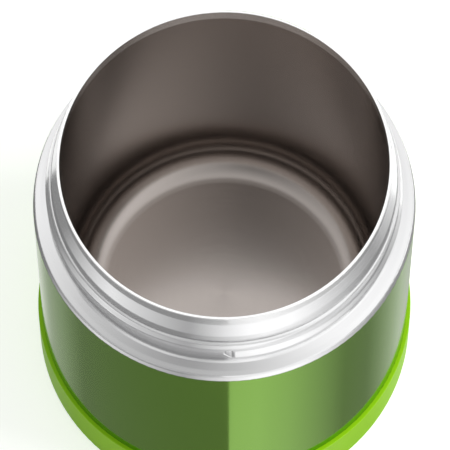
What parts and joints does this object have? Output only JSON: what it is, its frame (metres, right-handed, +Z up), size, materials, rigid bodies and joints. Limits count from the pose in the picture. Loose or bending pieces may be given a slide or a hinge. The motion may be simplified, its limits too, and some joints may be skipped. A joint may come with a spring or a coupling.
{
  "type": "insulated food jar",
  "caption": "Open vacuum-insulated steel food jar with a rolled screw neck, green coated body and lime boot, and its screw lid lying upside down behind it.",
  "frame": {"origin": "centre of the jar's foot, on the surface that it stands on", "axes": "+Z up along the jar, +Y towards the lid that lies behind the jar, -Y the front, where the neck's thread starts"},
  "size_m": [0.094, 0.233, 0.105],
  "materials": {
    "vessel_steel": "satin",
    "shell_steel": "satin",
    "green_coat": "gloss",
    "lime_boot": "satin",
    "lime_cap": "satin",
    "green_inlay": "gloss",
    "liner_plastic": "satin",
    "gasket_silicone": "matte",
    "pad_foam": "matte",
    "bright_foil": "polished",
    "getter_metal": "matte",
    "seal_glass": "gloss"
  },
  "bodies": {
    "jar": {"inner_vessel": "vessel_steel", "outer_shell": "shell_steel", "body_coat": "green_coat", "outer_bottom_plate": "shell_steel", "vacuum_port_seal": "seal_glass", "port_cover": "shell_steel", "reflective_foil": "bright_foil", "foil_bottom_disc": "bright_foil", "getter_cup": "shell_steel", "getter_pellet": "getter_metal", "base_boot": "lime_boot"},
    "lid_shield": {"lid_heat_shield": "bright_foil"},
    "lid_pad": {"lid_insulation_pad": "pad_foam"},
    "lid_seal": {"lid_gasket": "gasket_silicone"},
    "lid": {"lid_cap": "lime_cap", "lid_liner": "liner_plastic", "lid_top_inlay": "green_inlay"}
  },
  "joints": [
    {"name": "lid_swing", "type": "hinge", "parent": "jar", "child": "lid_shield", "pos_m": [0, 0.07, 0.077], "axis": [1, 0, 0], "range_deg": [0, 180]},
    {"name": "lid_lower", "type": "slide", "parent": "lid_shield", "child": "lid_pad", "axis": [0, 0, 1], "range_m": [0, 0.0176]},
    {"name": "lid_thread_advance", "type": "slide", "parent": "lid_pad", "child": "lid_seal", "axis": [0, 0, 1], "range_m": [0, 0.0054]},
    {"name": "lid_turn", "type": "hinge", "parent": "lid_seal", "child": "lid", "pos_m": [0, 0.14, 0], "axis": [0, 0, 1], "range_deg": [0, 360]}
  ],
  "couplings": [
    {"joint": "lid_thread_advance", "follows": "lid_turn", "m_per_rad": 0.000859}
  ]
}
